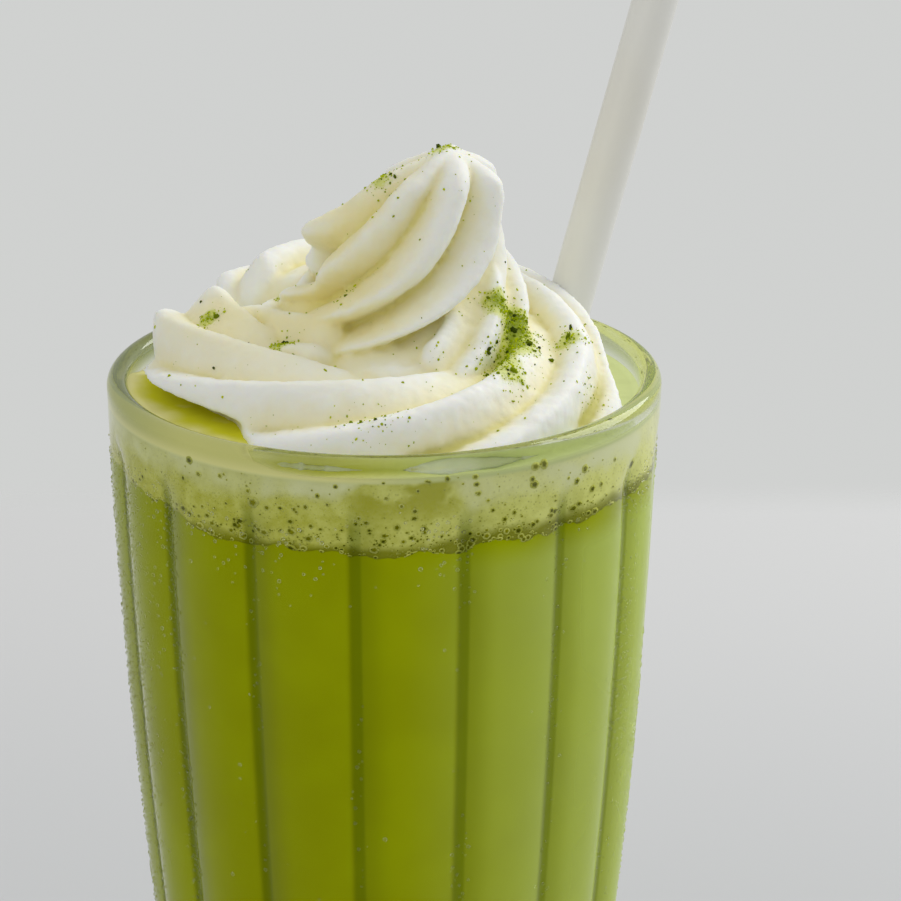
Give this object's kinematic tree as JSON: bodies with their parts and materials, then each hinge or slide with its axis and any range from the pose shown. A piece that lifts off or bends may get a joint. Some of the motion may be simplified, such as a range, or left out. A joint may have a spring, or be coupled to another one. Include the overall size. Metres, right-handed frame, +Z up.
{
  "type": "matcha latte in a ribbed glass",
  "caption": "Tall ribbed soda glass of green latte under a layer of milk foam, topped with a piped swirl of whipped cream, with a straw leaning on the lip.",
  "frame": {"origin": "centre of the glass's flat base, on the surface it stands on", "axes": "+Z up along the glass's axis, -Y the front as shown, +X to the viewer's right"},
  "size_m": [0.0948, 0.0839, 0.2401],
  "materials": {
    "glass": "clear pressed glass, slightly green, smooth",
    "matcha_latte": "opaque milky liquid, green",
    "milk_foam": "pale green foam with open bubbles",
    "whipped_cream": "soft matt whipped cream dusted with green tea powder",
    "straw": "thin whitish translucent plastic"
  },
  "bodies": {
    "root": {"glass": "glass", "matcha_latte": "matcha_latte", "milk_foam": "milk_foam", "whipped_cream": "whipped_cream", "straw": "straw"}
  },
  "joints": []
}
